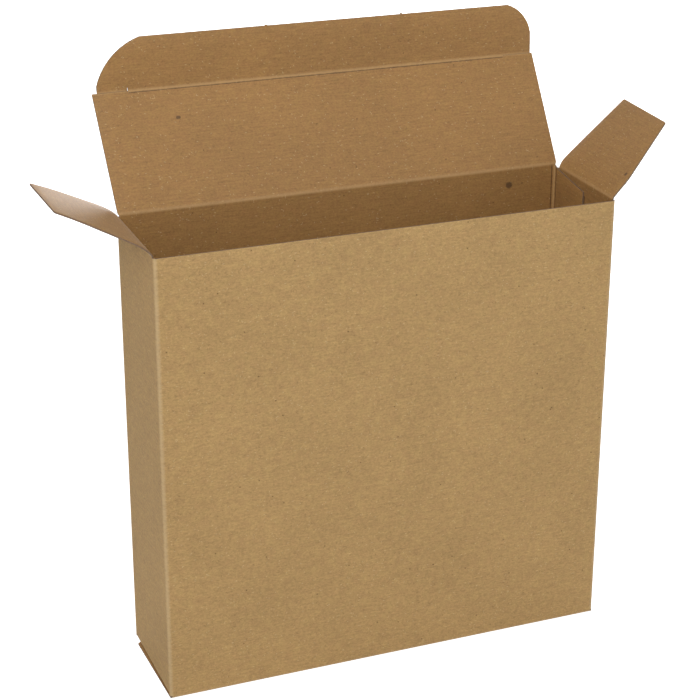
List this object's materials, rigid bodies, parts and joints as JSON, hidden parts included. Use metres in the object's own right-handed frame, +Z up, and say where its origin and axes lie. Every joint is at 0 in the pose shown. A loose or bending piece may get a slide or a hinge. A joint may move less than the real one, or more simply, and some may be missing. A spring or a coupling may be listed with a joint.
{
  "type": "folding carton",
  "caption": "Upright reverse-tuck folding carton in plain brown card, with its top open: hinged lid with tuck flap, side dust flaps and a closed, tucked base.",
  "frame": {"origin": "middle of the carton's base, on the surface that it stands on", "axes": "+Z up through the open top, +X to the right along the wide front panel, -Y out of the front panel; the top lid is hinged on the rear (+Y) panel and the base lid on the front (-Y) panel"},
  "size_m": [0.2045, 0.0641, 0.2017],
  "materials": {
    "card": "uncoated brown kraft board, matte"
  },
  "bodies": {
    "carton_body": {"carton_body": "card"},
    "top_lid": {"top_lid": "card"},
    "top_tuck_flap": {"top_tuck_flap": "card"},
    "base_lid": {"base_lid": "card"},
    "base_tuck_flap": {"base_tuck_flap": "card"},
    "left_dust_flap": {"left_dust_flap": "card"},
    "right_dust_flap": {"right_dust_flap": "card"}
  },
  "joints": [
    {"name": "top_lid_fold", "type": "hinge", "parent": "carton_body", "child": "top_lid", "pos_m": [0, 0.02025, 0.15175], "axis": [1, 0, 0], "range_deg": [-56, 124]},
    {"name": "top_tuck_fold", "type": "hinge", "parent": "top_lid", "child": "top_tuck_flap", "pos_m": [0, 0.04248, 0.1847], "axis": [1, 0, 0], "range_deg": [-31, 67]},
    {"name": "left_dust_fold", "type": "hinge", "parent": "carton_body", "child": "left_dust_flap", "pos_m": [-0.0765, 0, 0.15115], "axis": [0, 1, 0], "range_deg": [-27.5, 152.5]},
    {"name": "right_dust_fold", "type": "hinge", "parent": "carton_body", "child": "right_dust_flap", "pos_m": [0.0765, 0, 0.15115], "axis": [0, -1, 0], "range_deg": [-42, 138]},
    {"name": "base_lid_fold", "type": "hinge", "parent": "carton_body", "child": "base_lid", "pos_m": [0, -0.02025, 0.00025], "axis": [-1, 0, 0], "range_deg": [0, 90]},
    {"name": "base_tuck_fold", "type": "hinge", "parent": "base_lid", "child": "base_tuck_flap", "pos_m": [0, 0.0195, 0.00025], "axis": [1, 0, 0], "range_deg": [0, 18]}
  ],
  "couplings": [
    {"joint": "base_tuck_fold", "follows": "base_lid_fold", "ratio": 0.2}
  ]
}
